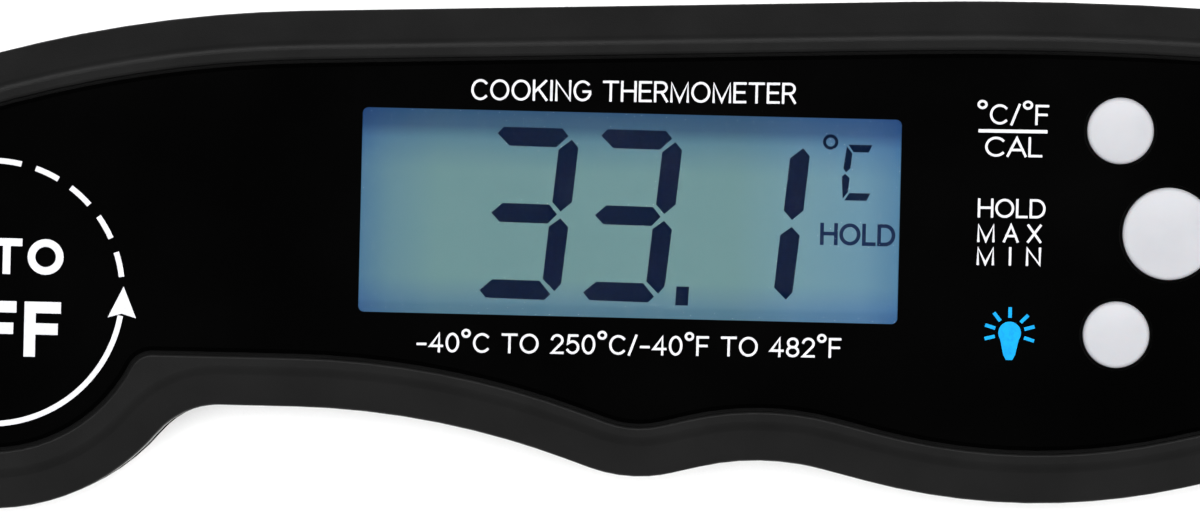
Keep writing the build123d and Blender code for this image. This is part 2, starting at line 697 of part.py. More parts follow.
with BuildPart() as battery_contact_positive:
    with BuildSketch(Plane.XY.offset(COIN_Z + 0.6)):
        with Locations((CELL_CENTRE[0] - COIN_RADIUS - 0.17, CELL_CENTRE[1])):
            Rectangle(CONTACT_THICK, 2.4)
    extrude(amount=BOARD_Z - COIN_Z - 0.6)
save(battery_contact_positive.part, "battery_contact_positive")


with BuildPart() as battery_cover:
    with BuildSketch(Plane.XY.offset(COVER_Z[0])):
        with Locations(CELL_CENTRE):
            Circle(COVER_RADIUS)
    extrude(amount=COVER_Z[1] - COVER_Z[0])
    with BuildSketch(Plane.XY.offset(COVER_GROOVE[0])):
        with Locations(CELL_CENTRE):
            Circle(COVER_RADIUS + 1)
            Circle(COVER_RADIUS - 1.0, mode=Mode.SUBTRACT)
    extrude(amount=COVER_GROOVE[1] - COVER_GROOVE[0], mode=Mode.SUBTRACT)
    with BuildSketch(Plane.XY.offset(COVER_Z[0])):
        with Locations(CELL_CENTRE):
            SlotOverall(*COVER_SLOT)
    extrude(amount=COVER_SLOT_DEPTH, mode=Mode.SUBTRACT)
save(battery_cover.part, "battery_cover")


with BuildPart() as battery_cover_seal:
    with BuildSketch(Plane((*CELL_CENTRE, 0), x_dir=(1, 0, 0), z_dir=(0, -1, 0))):
        with Locations((COVER_RADIUS - 0.5, COVER_SEAL_Z)):
            Circle(0.45)
    revolve(axis=Axis((*CELL_CENTRE, 0), (0, 0, 1)))
save(battery_cover_seal.part, "battery_cover_seal")


with BuildPart() as rear_magnets:
    with BuildSketch(Plane.XY.offset(FLOOR_Z - MAGNET_SEAT_DEPTH)):
        with Locations(*MAGNETS):
            Circle(MAGNET_RADIUS)
    extrude(amount=MAGNET_THICK)
save(rear_magnets.part, "rear_magnets")


# The switch that the folded hub's magnet works, and the lead from the axle to the board

with BuildPart() as reed_switch:
    with BuildSketch(Plane((11.5, 7.5, 13.3), x_dir=(1, 0, 0), z_dir=(0, -1, 0))):
        Circle(1.0)
    extrude(amount=9.0)
    fillet(reed_switch.edges().filter_by(GeomType.CIRCLE), 0.4)
save(reed_switch.part, "reed_switch")


with BuildPart() as sensor_lead:
    with BuildLine() as lead_path:
        FilletPolyline(
            (0.5, 0, LEAD_Z),
            (11.0, 0, LEAD_Z),
            (18.0, 7.5, LEAD_Z),
            (27.0, 7.5, LEAD_Z),
            (27.0, 7.5, BOARD_TOP_Z),
            radius=[5.0, 5.0, 0.9],
        )
    with BuildSketch(Plane(lead_path.line @ 0, z_dir=lead_path.line % 0)):
        Circle(LEAD_RADIUS)
    sweep()
save(sensor_lead.part, "sensor_lead")


# Hub: two halves that clamp the probe's tube and turn on axles in both housings

hub_screws_at = [Vector(HUB_SCREW_RING, 0).rotate(Axis.Z, turn) for turn in HUB_SCREW_ANGLES]
hub_magnet_at = Vector(HUB_SCREW_RING, 0).rotate(Axis.Z, HUB_MAGNET_ANGLE)

with BuildPart() as pivot_washer:
    with BuildSketch(Plane.XY.offset(SLOT_LOW_Z)):
        Circle(WASHER_RADIUS)
        Circle(AXLE_RADIUS + 0.2, mode=Mode.SUBTRACT)
    extrude(amount=WASHER_THICK)
save(pivot_washer.part, "pivot_washer")


with BuildPart() as hub_front_half:
    with BuildSketch(Plane.XY.offset(PARTING_Z)):
        Circle(HUB_RADIUS)
    extrude(amount=HUB_Z[1] - PARTING_Z)
    fillet(hub_front_half.edges().sort_by(Axis.Z)[-1], HUB_FILLET)
    with BuildSketch(Plane.XY.offset(HUB_Z[1])):
        Circle(AXLE_RADIUS)
    extrude(amount=AXLE_Z[1] - HUB_Z[1])
    chamfer(hub_front_half.edges().sort_by(Axis.Z)[-1], AXLE_CHAMFER)
    with BuildSketch(Plane.XY.offset(HUB_SEALS["hub_seal_front"] - HUB_SEAL_GROOVE / 2)):
        Circle(AXLE_RADIUS + 1)
        Circle(AXLE_RADIUS - 1, mode=Mode.SUBTRACT)
    extrude(amount=HUB_SEAL_GROOVE, mode=Mode.SUBTRACT)
    with BuildSketch(Plane.XY.offset(PARTING_Z)):
        Circle(HUB_CAVITY_RADIUS)
        with Locations(*hub_screws_at):
            Circle(1.5, mode=Mode.SUBTRACT)
        with Locations(CLAMP_CENTRE):
            Rectangle(*CLAMP, mode=Mode.SUBTRACT)
    extrude(amount=HUB_CAVITY_Z[1] - PARTING_Z, mode=Mode.SUBTRACT)
    with BuildSketch(Plane.XY.offset(PARTING_Z)):
        with Locations(*hub_screws_at):
            Circle(0.6)
    extrude(amount=2.0, mode=Mode.SUBTRACT)
    with BuildSketch(Plane.XY.offset(HUB_CAVITY_Z[1])):
        Circle(1.3)
    extrude(amount=AXLE_Z[1] - HUB_CAVITY_Z[1], mode=Mode.SUBTRACT)
    with BuildSketch(Plane((TUBE_START_X, TUBE_Y, PARTING_Z), z_dir=(-1, 0, 0))):
        Circle(TUBE_RADIUS)
    extrude(amount=HUB_RADIUS, mode=Mode.SUBTRACT)
save(hub_front_half.part, "hub_front_half")


with BuildPart() as hub_rear_half:
    with BuildSketch(Plane.XY.offset(HUB_Z[0])):
        Circle(HUB_RADIUS)
    extrude(amount=PARTING_Z - HUB_Z[0])
    fillet(hub_rear_half.edges().sort_by(Axis.Z)[0], HUB_FILLET)
    with BuildSketch(Plane.XY.offset(HUB_Z[0])):
        Circle(AXLE_RADIUS)
    extrude(amount=AXLE_Z[0] - HUB_Z[0])
    chamfer(hub_rear_half.edges().sort_by(Axis.Z)[0], AXLE_CHAMFER)
    with BuildSketch(Plane.XY.offset(HUB_SEALS["hub_seal_rear"] - HUB_SEAL_GROOVE / 2)):
        Circle(AXLE_RADIUS + 1)
        Circle(AXLE_RADIUS - 1, mode=Mode.SUBTRACT)
    extrude(amount=HUB_SEAL_GROOVE, mode=Mode.SUBTRACT)
    with BuildSketch(Plane.XY.offset(HUB_CAVITY_Z[0])):
        Circle(HUB_CAVITY_RADIUS)
        with Locations(*hub_screws_at, hub_magnet_at):
            Circle(2.3, mode=Mode.SUBTRACT)
        with Locations(CLAMP_CENTRE):
            Rectangle(*CLAMP, mode=Mode.SUBTRACT)
    extrude(amount=PARTING_Z - HUB_CAVITY_Z[0], mode=Mode.SUBTRACT)
    with BuildSketch(Plane.XY.offset(HUB_Z[0])):
        with Locations(*hub_screws_at):
            Circle(0.7)
    extrude(amount=PARTING_Z - HUB_Z[0], mode=Mode.SUBTRACT)
    with BuildSketch(Plane.XY.offset(HUB_Z[0])):
        with Locations(*hub_screws_at):
            Circle(1.3)
    extrude(amount=1.0, mode=Mode.SUBTRACT)
    with BuildSketch(Plane.XY.offset(PARTING_Z)):
        with Locations(hub_magnet_at):
            Circle(1.5)
    extrude(amount=-1.0, mode=Mode.SUBTRACT)
    with BuildSketch(Plane((TUBE_START_X, TUBE_Y, PARTING_Z), z_dir=(-1, 0, 0))):
        Circle(TUBE_RADIUS)
    extrude(amount=HUB_RADIUS, mode=Mode.SUBTRACT)
save(hub_rear_half.part, "hub_rear_half")


with BuildPart() as hub_screws:
    with BuildSketch(Plane.XY.offset(HUB_Z[0] + 0.2)):
        with Locations(*hub_screws_at):
            Circle(1.2)
    extrude(amount=0.8)
    with BuildSketch(Plane.XY.offset(HUB_Z[0] + 1.0)):
        with Locations(*hub_screws_at):
            Circle(0.58)
    extrude(amount=3.0)
save(hub_screws.part, "hub_screws")


with BuildPart() as hub_magnet:
    with BuildSketch(Plane.XY.offset(PARTING_Z - HUB_MAGNET[1] / 2)):
        with Locations(hub_magnet_at):
            Circle(HUB_MAGNET[0])
    extrude(amount=HUB_MAGNET[1])
save(hub_magnet.part, "hub_magnet")


for seal_name, seal_z in HUB_SEALS.items():
    with BuildPart() as hub_seal:
        with BuildSketch(Plane.XZ):
            with Locations((AXLE_RADIUS - HUB_SEAL_RADIUS, seal_z)):
                Circle(HUB_SEAL_RADIUS)
        revolve(axis=Axis.Z)
    save(hub_seal.part, seal_name)


# Probe: tube, collar, pointed tip, sensor bead and its lead

TUBE_AXIS = Axis((0, TUBE_Y, PARTING_Z), (1, 0, 0))
TUBE_PLANE = Plane((0, TUBE_Y, PARTING_Z), x_dir=(1, 0, 0), z_dir=(0, -1, 0))

with BuildPart() as probe_tube:
    with BuildSketch(Plane((TUBE_START_X, TUBE_Y, PARTING_Z), z_dir=(-1, 0, 0))):
        Circle(TUBE_RADIUS)
        Circle(TUBE_BORE, mode=Mode.SUBTRACT)
    extrude(amount=TUBE_START_X - TUBE_END_X)
save(probe_tube.part, "probe_tube")


with BuildPart() as probe_collar:
    with BuildSketch(Plane((COLLAR_START_X, TUBE_Y, PARTING_Z), z_dir=(-1, 0, 0))):
        Circle(COLLAR_RADIUS)
    extrude(amount=COLLAR_LENGTH)
    fillet(probe_collar.edges().filter_by(GeomType.CIRCLE), 0.5)
    with BuildSketch(Plane((COLLAR_START_X, TUBE_Y, PARTING_Z), z_dir=(-1, 0, 0))):
        Circle(TUBE_RADIUS)
    extrude(amount=COLLAR_LENGTH, mode=Mode.SUBTRACT)
save(probe_collar.part, "probe_collar")


with BuildPart() as probe_tip:
    with BuildSketch(TUBE_PLANE):
        with BuildLine():
            Polyline(
                (TUBE_END_X, TIP_WALL_RADIUS),
                (TUBE_END_X, TUBE_RADIUS),
                (TUBE_END_X - 4.5, TIP_RADIUS),
                (TIP_X + 3.0, TIP_RADIUS),
                (TIP_X, TIP_POINT_RADIUS),
                (TIP_X, 0),
                (TIP_X + 3.6, 0),
                (TIP_X + 3.6, TIP_WALL_RADIUS),
                close=True,
            )
        make_face()
    revolve(axis=TUBE_AXIS)
save(probe_tip.part, "probe_tip")


with BuildPart() as thermistor:
    with BuildSketch(Plane((TIP_X + 7.0, TUBE_Y, PARTING_Z), z_dir=(-1, 0, 0))):
        Circle(BEAD_RADIUS)
    extrude(amount=BEAD_LENGTH)
    fillet(thermistor.edges().filter_by(GeomType.CIRCLE), 0.25)
save(thermistor.part, "thermistor")


with BuildPart() as probe_lead:
    with BuildLine() as lead_path:
        FilletPolyline(
            (TIP_X + 7.2, TUBE_Y, PARTING_Z),
            (-6.5, TUBE_Y, PARTING_Z),
            (0, 0, PARTING_Z),
            (0, 0, AXLE_Z[1] - 0.2),
            radius=[5.0, 2.0],
        )
    with BuildSketch(Plane(lead_path.line @ 0, z_dir=lead_path.line % 0)):
        Circle(LEAD_RADIUS)
    sweep()
save(probe_lead.part, "probe_lead")
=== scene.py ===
import json
from math import cos, hypot, radians, sin

import bmesh
import bpy
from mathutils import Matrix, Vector


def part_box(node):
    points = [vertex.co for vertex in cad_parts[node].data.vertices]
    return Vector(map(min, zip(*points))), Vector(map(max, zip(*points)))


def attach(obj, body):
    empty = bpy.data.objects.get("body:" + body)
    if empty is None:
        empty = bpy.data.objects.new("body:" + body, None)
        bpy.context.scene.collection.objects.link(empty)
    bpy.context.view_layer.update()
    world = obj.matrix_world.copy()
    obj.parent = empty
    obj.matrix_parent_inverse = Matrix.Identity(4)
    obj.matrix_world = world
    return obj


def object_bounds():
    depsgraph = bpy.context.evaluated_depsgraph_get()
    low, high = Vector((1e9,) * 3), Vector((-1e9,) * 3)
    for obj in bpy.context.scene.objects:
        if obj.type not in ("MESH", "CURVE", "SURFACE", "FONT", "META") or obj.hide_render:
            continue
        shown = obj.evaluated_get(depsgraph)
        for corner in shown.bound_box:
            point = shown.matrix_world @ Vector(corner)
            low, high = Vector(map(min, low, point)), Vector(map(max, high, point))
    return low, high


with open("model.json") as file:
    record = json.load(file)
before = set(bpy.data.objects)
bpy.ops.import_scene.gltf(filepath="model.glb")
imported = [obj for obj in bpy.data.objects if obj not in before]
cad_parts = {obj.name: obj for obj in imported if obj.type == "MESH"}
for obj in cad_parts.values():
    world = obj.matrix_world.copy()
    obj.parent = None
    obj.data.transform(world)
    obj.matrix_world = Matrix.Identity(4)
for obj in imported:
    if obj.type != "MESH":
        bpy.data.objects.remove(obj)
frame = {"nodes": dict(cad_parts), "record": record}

MM = 0.001
cad_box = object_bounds()
nodes = frame["nodes"]

WINDOW_LOW, WINDOW_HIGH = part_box("display_window")
PANEL_TOP = WINDOW_HIGH[2]
CELL_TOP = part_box("lcd_cell")[1][2]
CAP_SHADE_TOP = PANEL_TOP - 0.7 * MM  # a button is painted near-black below this, as painted shade in the gap round it
CAP_SHADE_FADE = 0.1 * MM
PRINT_THICK = 0.012 * MM
PRINT_Z = PANEL_TOP + 0.5 * PRINT_THICK
NOISE_ROUGHNESS = 0.55
DISPLAY_GLOW = 0.95
DISPLAY_SPECULAR = 0.02


# materials

def new_material(name, roughness, metallic=0.0):
    """A node material and its shader, with the values that are the same all over."""
    made = bpy.data.materials.new(name)
    made.use_nodes = True
    shader = made.node_tree.nodes["Principled BSDF"]
    shader.inputs["Roughness"].default_value = roughness
    shader.inputs["Metallic"].default_value = metallic
    return made, shader


def noise(made, scale, detail=4.0, stretch=(1, 1, 1)):
    """Object-space noise, its scale in cells per metre."""
    tree = made.node_tree
    place = tree.nodes.new("ShaderNodeTexCoord")
    squash = tree.nodes.new("ShaderNodeMapping")
    squash.inputs["Scale"].default_value = stretch
    grain = tree.nodes.new("ShaderNodeTexNoise")
    grain.inputs["Scale"].default_value = scale
    grain.inputs["Detail"].default_value = detail
    grain.inputs["Roughness"].default_value = NOISE_ROUGHNESS
    tree.links.new(place.outputs["Object"], squash.inputs["Vector"])
    tree.links.new(squash.outputs["Vector"], grain.inputs["Vector"])
    return grain.outputs["Fac"]


def spread(made, value, low, high, start=0.3, end=0.7):
    """Maps a noise value to a range of numbers."""
    tree = made.node_tree
    ranged = tree.nodes.new("ShaderNodeMapRange")
    ranged.inputs["From Min"].default_value = start
    ranged.inputs["From Max"].default_value = end
    ranged.inputs["To Min"].default_value = low
    ranged.inputs["To Max"].default_value = high
    tree.links.new(value, ranged.inputs["Value"])
    return ranged.outputs["Result"]


def colours(made, value, stops):
    """Maps a value to a ramp of colours, each stop a place and a linear colour."""
    tree = made.node_tree
    ramp = tree.nodes.new("ShaderNodeValToRGB")
    marks = ramp.color_ramp.elements
    while len(marks) < len(stops):
        marks.new(0.5)
    for mark, (place, colour) in zip(marks, stops):
        mark.position = place
        mark.color = (*colour, 1)
    tree.links.new(value, ramp.inputs["Fac"])
    return ramp.outputs["Color"]


def place_of(made):
    """The object-space place of each point, as sockets X, Y and Z."""
    tree = made.node_tree
    place = tree.nodes.new("ShaderNodeTexCoord")
    parts = tree.nodes.new("ShaderNodeSeparateXYZ")
    tree.links.new(place.outputs["Object"], parts.inputs["Vector"])
    return parts.outputs


def paint(made, shader, value, dark, light, start=0.3, end=0.7, socket="Base Color"):
    """Gives the shader a colour that goes from dark to light with a noise value."""
    made.node_tree.links.new(
        colours(made, value, [(start, dark), (end, light)]), shader.inputs[socket]
    )


def uneven(made, shader, value, low, high):
    """Gives the shader a roughness that follows a noise value."""
    made.node_tree.links.new(spread(made, value, low, high), shader.inputs["Roughness"])


def bump(made, shader, value, height):
    """Gives the shader's surface a relief of that height in metres."""
    tree = made.node_tree
    raised = tree.nodes.new("ShaderNodeBump")
    raised.inputs["Strength"].default_value = 1.0
    raised.inputs["Distance"].default_value = height
    tree.links.new(value, raised.inputs["Height"])
    tree.links.new(raised.outputs["Normal"], shader.inputs["Normal"])


def finish_of(name, dark, light, roughness, scale=900.0, grain=0.00002, fine=6000.0):
    """A moulded finish: slight colour clouds, uneven gloss and a fine surface grain."""
    made, shader = new_material(name, roughness[0])
    cloud = noise(made, scale)
    speck = noise(made, fine, detail=2.0)
    paint(made, shader, cloud, dark, light)
    uneven(made, shader, cloud, *roughness)
    bump(made, shader, speck, grain)
    return made, shader


def grey(value):
    return (value, value, value)


def shade(colour, share):
    return tuple(share * part for part in colour)


def srgb(red, green, blue):
    """A linear colour from display values out of 255."""
    def one(value):
        share = value / 255
        return share / 12.92 if share <= 0.04045 else ((share + 0.055) / 1.055) ** 2.4
    return (one(red), one(green), one(blue))


def plain(name, dark, light, roughness, **more):
    """A moulded finish with nothing more set on its shader."""
    return finish_of(name, dark, light, roughness, **more)[0]


def shell_plastic():
    """Satin black moulding with a fine grain."""
    made, shader = finish_of(
        "shell_plastic", grey(0.0056), grey(0.0074), (0.30, 0.37), scale=160.0, grain=0.000014, fine=9000.0
    )
    shader.inputs["Specular IOR Level"].default_value = 0.035
    return made


def gloss_panel():
    """Polished black sheet with faint smudges and a slight waviness."""
    made, shader = new_material("gloss_panel", roughness=0.06)
    shader.inputs["Specular IOR Level"].default_value = 0.25
    smudge = noise(made, scale=55.0, detail=6.0)
    paint(made, shader, smudge, grey(0.0003), grey(0.0007), end=0.75)
    uneven(made, shader, smudge, low=0.05, high=0.12)
    bump(made, shader, noise(made, scale=28.0, detail=2.0), height=0.00001)
    return made


def clear_window():
    """Clear window over the display, its index kept low so that it hardly dims what is under it."""
    made, shader = new_material("clear_window", roughness=0.02)
    shader.inputs["Transmission Weight"].default_value = 1.0
    shader.inputs["IOR"].default_value = 1.02
    smudge = noise(made, scale=60.0, detail=5.0)
    paint(made, shader, smudge, grey(0.97), grey(1.0))
    uneven(made, shader, smudge, low=0.0, high=0.005)
    return made


def printed(name, thin, full):
    """Screen-printed ink: slightly uneven cover, matt."""
    made, shader = new_material(name, roughness=0.5)
    shader.inputs["Specular IOR Level"].default_value = 0.1
    cover = noise(made, scale=2600.0, detail=3.0)
    paint(made, shader, cover, thin, full, start=0.25, end=0.6)
    uneven(made, shader, cover, low=0.42, high=0.6)
    return made


# the display's light, each mark millimetres from the window's middle and a colour out of 255;
# the second list multiplies the first

FIELD_ACROSS = [
    (-23.0, (80, 122, 152)),
    (-20.6, (98, 138, 152)),
    (-16.5, (111, 149, 151)),
    (9.0, (112, 150, 152)),
    (14.5, (114, 154, 166)),
    (20.0, (107, 149, 170)),
    (23.0, (86, 131, 163)),
]
FIELD_ALONG = [
    (-8.7, (194, 208, 238)),
    (-8.0, (198, 212, 242)),
    (-7.6, (220, 228, 253)),
    (-5.6, (255, 255, 255)),
    (3.6, (254, 254, 255)),
    (6.2, (212, 225, 248)),
    (7.4, (142, 162, 206)),
    (8.7, (130, 150, 200)),
]


def lit_display():
    """The display's field: grey-green in the middle, bluer and darker towards its edges."""
    made, shader = new_material("lit_display", roughness=0.6)
    tree = made.node_tree
    place = place_of(made)

    def ramp(axis, marks):
        """The colour that the marks give along the X or Y axis."""
        index = "XY".index(axis)
        middle = 0.5 * (WINDOW_LOW[index] + WINDOW_HIGH[index])
        spots = [middle + away * MM for away, colour in marks]
        first, last = spots[0], spots[-1]
        share = spread(made, place[axis], 0.0, 1.0, first, last)
        return colours(made, share, [
            ((spot - first) / (last - first), srgb(*colour)) for spot, (away, colour) in zip(spots, marks)
        ])

    blend = tree.nodes.new("ShaderNodeMix")
    blend.data_type = "RGBA"
    blend.blend_type = "MULTIPLY"
    blend.inputs["Factor"].default_value = 1.0
    tree.links.new(ramp("X", FIELD_ACROSS), blend.inputs["A"])
    tree.links.new(ramp("Y", FIELD_ALONG), blend.inputs["B"])
    tree.links.new(blend.outputs["Result"], shader.inputs["Emission Color"])
    shader.inputs["Emission Strength"].default_value = DISPLAY_GLOW
    shader.inputs["Base Color"].default_value = (*grey(0.001), 1)
    shader.inputs["Specular IOR Level"].default_value = DISPLAY_SPECULAR
    uneven(made, shader, noise(made, scale=4000.0), low=0.5, high=0.7)
    return made


def display_ink(name, colour):
    """A dark part of the display, which gives off its own colour so that no light changes it."""
    made, shader = new_material(name, roughness=0.6)
    cover = noise(made, scale=3000.0)
    paint(made, shader, cover, shade(colour, 0.75), colour, socket="Emission Color")
    paint(made, shader, cover, grey(0.0001), grey(0.0003))
    shader.inputs["Emission Strength"].default_value = DISPLAY_GLOW
    shader.inputs["Specular IOR Level"].default_value = DISPLAY_SPECULAR
    return made


def brushed_steel(name, tint, roughness, stretch=(1, 14, 14)):
    """Bare metal with fine lines that run the way the noise is stretched least."""
    made, shader = new_material(name, roughness[0], metallic=1.0)
    lines = noise(made, scale=900.0, detail=6.0, stretch=stretch)
    paint(made, shader, lines, shade(tint, 0.82), tint)
    uneven(made, shader, lines, *roughness)
    bump(made, shader, lines, height=0.000006)
    return made


def cap_plastic():
    """Satin white button caps, painted near-black on their lower sides as painted shade in the gap round
    each.
    """
    made, shader = finish_of(
        "cap_plastic", (0.295, 0.297, 0.315), (0.315, 0.317, 0.335), (0.36, 0.46), scale=240.0,
        grain=0.000006, fine=9000.0,
    )
    tree = made.node_tree
    # painted shade: the caps go near-black below a height, so the gap round each button looks dark
    share = spread(made, place_of(made)["Z"], 0.0, 1.0, CAP_SHADE_TOP, CAP_SHADE_TOP + CAP_SHADE_FADE)
    cap_colour = shader.inputs["Base Color"].links[0].from_socket
    shaded_cap = tree.nodes.new("ShaderNodeMix")
    shaded_cap.data_type = "RGBA"
    shaded_cap.inputs["A"].default_value = (*grey(0.004), 1)
    tree.links.new(share, shaded_cap.inputs["Factor"])
    tree.links.new(cap_colour, shaded_cap.inputs["B"])
    tree.links.new(shaded_cap.outputs["Result"], shader.inputs["Base Color"])
    shader.inputs["Specular IOR Level"].default_value = 0.2
    shader.inputs["Subsurface Weight"].default_value = 0.08
    shader.inputs["Subsurface Scale"].default_value = 0.0008
    return made


def reed_glass():
    """The tinted glass of the reed switch."""
    made, shader = new_material("reed_glass", roughness=0.05)
    shader.inputs["Transmission Weight"].default_value = 0.7
    paint(made, shader, noise(made, scale=500.0), (0.30, 0.42, 0.36), (0.36, 0.50, 0.42))
    uneven(made, shader, noise(made, scale=900.0), low=0.03, high=0.1)
    return made


shell = shell_plastic()
panel_black = gloss_panel()
window_clear = clear_window()
ink_white = printed("ink_white", (0.39, 0.39, 0.41), (0.46, 0.46, 0.48))
ink_blue = printed("ink_blue", (0.0005, 0.17, 0.40), (0.001, 0.23, 0.49))
field = lit_display()
segment_ink = display_ink("segment_ink", srgb(2, 24, 55))
word_ink = display_ink("word_ink", srgb(26, 46, 84))
cap = cap_plastic()
steel = brushed_steel("probe_steel", (0.60, 0.59, 0.57), (0.20, 0.32))
screw_steel = brushed_steel("screw_steel", (0.42, 0.42, 0.42), (0.28, 0.42), stretch=(6, 6, 1))
rubber = plain("seal_rubber", grey(0.015), grey(0.03), (0.65, 0.8))
inner_plastic = plain("inner_plastic", grey(0.06), grey(0.09), (0.45, 0.6))
light_guide = plain("light_guide", (0.60, 0.66, 0.70), (0.70, 0.75, 0.78), (0.15, 0.3))
board_green = plain("board_green", (0.010, 0.085, 0.030), (0.018, 0.120, 0.045), (0.3, 0.45))
chip_black = plain("chip_black", grey(0.012), grey(0.022), (0.5, 0.65))
contact_metal = brushed_steel("contact_metal", (0.62, 0.56, 0.44), (0.25, 0.4))
battery_steel = brushed_steel("battery_steel", (0.62, 0.62, 0.61), (0.18, 0.3))
magnet_nickel = brushed_steel("magnet_nickel", (0.50, 0.49, 0.47), (0.22, 0.36), stretch=(4, 4, 1))
lead_cover = plain("lead_cover", (0.10, 0.10, 0.11), (0.14, 0.14, 0.15), (0.5, 0.65))
washer_plastic = plain("washer_plastic", grey(0.45), grey(0.55), (0.4, 0.5))
bead = plain("bead", (0.05, 0.02, 0.01), (0.09, 0.035, 0.02), (0.25, 0.4))
adhesive = plain("adhesive", grey(0.02), grey(0.035), (0.7, 0.85))
cell_glass = plain("cell_glass", (0.20, 0.24, 0.24), (0.24, 0.28, 0.28), (0.1, 0.2))

FINISHES = {
    "shell": shell, "panel": panel_black, "window": window_clear, "adhesive": adhesive,
    "lcd": cell_glass, "inner_plastic": inner_plastic, "light_guide": light_guide,
    "board": board_green, "chip": chip_black, "contact_metal": contact_metal,
    "screw_steel": screw_steel, "battery_steel": battery_steel, "button_white": cap,
    "seal_rubber": rubber, "magnet": magnet_nickel, "reed_glass": reed_glass(),
    "lead_cover": lead_cover, "washer_plastic": washer_plastic, "hub": shell,
    "probe_steel": steel, "bead": bead,
}

for entry in frame["record"]["subparts"]:
    surface = nodes[entry["node"]].data
    surface.materials.clear()
    surface.materials.append(FINISHES[entry["material_slot"]])


# flat printed shapes, each tile a hair above the one before so that crossing strokes never coincide

LAYERS = 7
LAYER_STEP = 0.0006 * MM


def flat_piece(name, shapes, z, thick, finish, body="housing"):
    """Thin raised shapes, each a list of plan points in millimetres, as one mesh."""
    built = bmesh.new()
    for turn, shape in enumerate(shapes):
        top = z + 0.5 * thick + turn % LAYERS * LAYER_STEP
        lower = [built.verts.new((x * MM, y * MM, z - 0.5 * thick)) for x, y in shape]
        upper = [built.verts.new((x * MM, y * MM, top)) for x, y in shape]
        built.faces.new(list(reversed(lower)))
        built.faces.new(upper)
        count = len(shape)
        for here in range(count):
            after = (here + 1) % count
            built.faces.new((lower[here], lower[after], upper[after], upper[here]))
    bmesh.ops.recalc_face_normals(built, faces=built.faces)
    made = bpy.data.meshes.new(name)
    built.to_mesh(made)
    built.free()
    made.materials.append(finish)
    piece = bpy.data.objects.new(name, made)
    bpy.context.scene.collection.objects.link(piece)
    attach(piece, body)


def bow(cx, cy, rx, ry, start, end, count=14):
    """Points along part of an ellipse, its angles in degrees."""
    angles = [radians(start + (end - start) * step / count) for step in range(count + 1)]
    return [(cx + rx * cos(angle), cy + ry * sin(angle)) for angle in angles]


def arc_points(centre, radius, start, end, count):
    return bow(*centre, radius, radius, start, end, count)


def band(centre, inner, outer, start, end, count=10):
    """A strip of a ring as four-sided tiles."""
    inside = arc_points(centre, inner, start, end, count)
    outside = arc_points(centre, outer, start, end, count)
    return [
        [inside[step], outside[step], outside[step + 1], inside[step + 1]] for step in range(count)
    ]


def beyond(start, end, more):
    """The point that much past the end of a line."""
    length = hypot(end[0] - start[0], end[1] - start[1])
    share = 1 + more / length
    return (start[0] + (end[0] - start[0]) * share, start[1] + (end[1] - start[1]) * share)


def stroke(path, width, reach_out=0.0):
    """A line of constant width along plan points, as four-sided tiles mitred where it turns."""
    sharpest = 0.35
    path = [here for here, before in zip(path, [None] + path[:-1]) if here != before]
    closed = hypot(path[0][0] - path[-1][0], path[0][1] - path[-1][1]) < 1e-6
    if not closed:
        path[0] = beyond(path[1], path[0], reach_out)
        path[-1] = beyond(path[-2], path[-1], reach_out)
    sides = []
    for (x0, y0), (x1, y1) in zip(path, path[1:]):
        length = hypot(x1 - x0, y1 - y0)
        sides.append(((y0 - y1) / length, (x1 - x0) / length))
    offsets = []
    for spot in range(len(path)):
        before = sides[spot - 1] if spot > 0 or closed else sides[0]
        after = sides[spot % len(sides)] if spot < len(sides) or closed else sides[-1]
        along = before[0] * after[0] + before[1] * after[1]
        reach = width / 2 / max(1 + along, sharpest)
        offsets.append(((before[0] + after[0]) * reach, (before[1] + after[1]) * reach))
    tiles = []
    for (x0, y0), (x1, y1), (a0, b0), (a1, b1) in zip(path, path[1:], offsets, offsets[1:]):
        tiles.append([(x0 + a0, y0 + b0), (x0 - a0, y0 - b0), (x1 - a1, y1 - b1), (x1 + a1, y1 + b1)])
    return tiles


# lettering drawn with strokes on a grid one unit high, each glyph a width and its lines;
# the star is drawn as a degree sign

